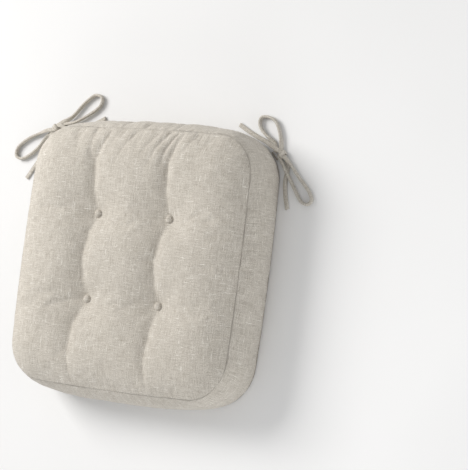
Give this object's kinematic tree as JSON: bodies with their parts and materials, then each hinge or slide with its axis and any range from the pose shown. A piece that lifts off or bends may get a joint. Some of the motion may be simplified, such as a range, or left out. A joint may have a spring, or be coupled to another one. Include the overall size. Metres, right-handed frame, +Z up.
{
  "type": "chair seat pad",
  "caption": "Boxed, rounded-square seat cushion in linen-look cloth, tufted with covered buttons, with self-fabric ties in bows at the back corners.",
  "frame": {"origin": "centre of the flat bottom face, which the pad rests on", "axes": "+Z up, +Y to the back edge with the ties, +X to the right seen from the front"},
  "size_m": [0.5719, 0.4854, 0.0963],
  "materials": {
    "cover_linen": "matte, heathered plain weave with light slubs",
    "foam": "open-cell foam, matte",
    "fibre_wadding": "loose fibre, matte",
    "button_linen": "matte plain weave stretched over the button",
    "button_steel": "plain plated steel",
    "anchor_nylon": "moulded nylon",
    "thread": "twisted sewing thread",
    "tie_linen": "matte plain weave, folded and edge-stitched"
  },
  "bodies": {
    "base": {"bottom_panel": "cover_linen", "boxing_strip": "cover_linen", "foam_core": "foam", "tuft_twine_1": "thread", "tuft_twine_2": "thread", "tuft_twine_3": "thread", "tuft_twine_4": "thread", "anchor_disc_1": "anchor_nylon", "anchor_disc_2": "anchor_nylon", "anchor_disc_3": "anchor_nylon", "anchor_disc_4": "anchor_nylon", "seam_thread_bottom": "thread", "tie_left_bartack": "thread", "tie_right_bartack": "thread"},
    "top": {"top_panel": "cover_linen", "top_wadding": "fibre_wadding", "button_cap_1": "button_linen", "button_cap_2": "button_linen", "button_cap_3": "button_linen", "button_cap_4": "button_linen", "button_back_1": "button_steel", "button_back_2": "button_steel", "button_back_3": "button_steel", "button_back_4": "button_steel", "seam_thread_top": "thread"},
    "left_tie": {"tie_left_back": "tie_linen", "tie_left_side": "tie_linen", "tie_left_knot": "tie_linen"},
    "right_tie": {"tie_right_back": "tie_linen", "tie_right_side": "tie_linen", "tie_right_knot": "tie_linen"}
  },
  "joints": [
    {"name": "seat_compress", "type": "slide", "parent": "base", "child": "top", "axis": [0, 0, -1], "range_m": [0, 0.03], "stiffness_N_per_m": 20000, "deforming": ["boxing_strip", "foam_core", "tuft_twine_1", "tuft_twine_2", "tuft_twine_3", "tuft_twine_4"]},
    {"name": "left_tie_swing", "type": "hinge", "parent": "base", "child": "left_tie", "pos_m": [-0.18853, 0.18853, 0.0019], "axis": [0.7071, 0.7071, 0], "range_deg": [-90, 45]},
    {"name": "right_tie_swing", "type": "hinge", "parent": "base", "child": "right_tie", "pos_m": [0.18853, 0.18853, 0.0019], "axis": [0.7071, -0.7071, 0], "range_deg": [-90, 45]}
  ]
}
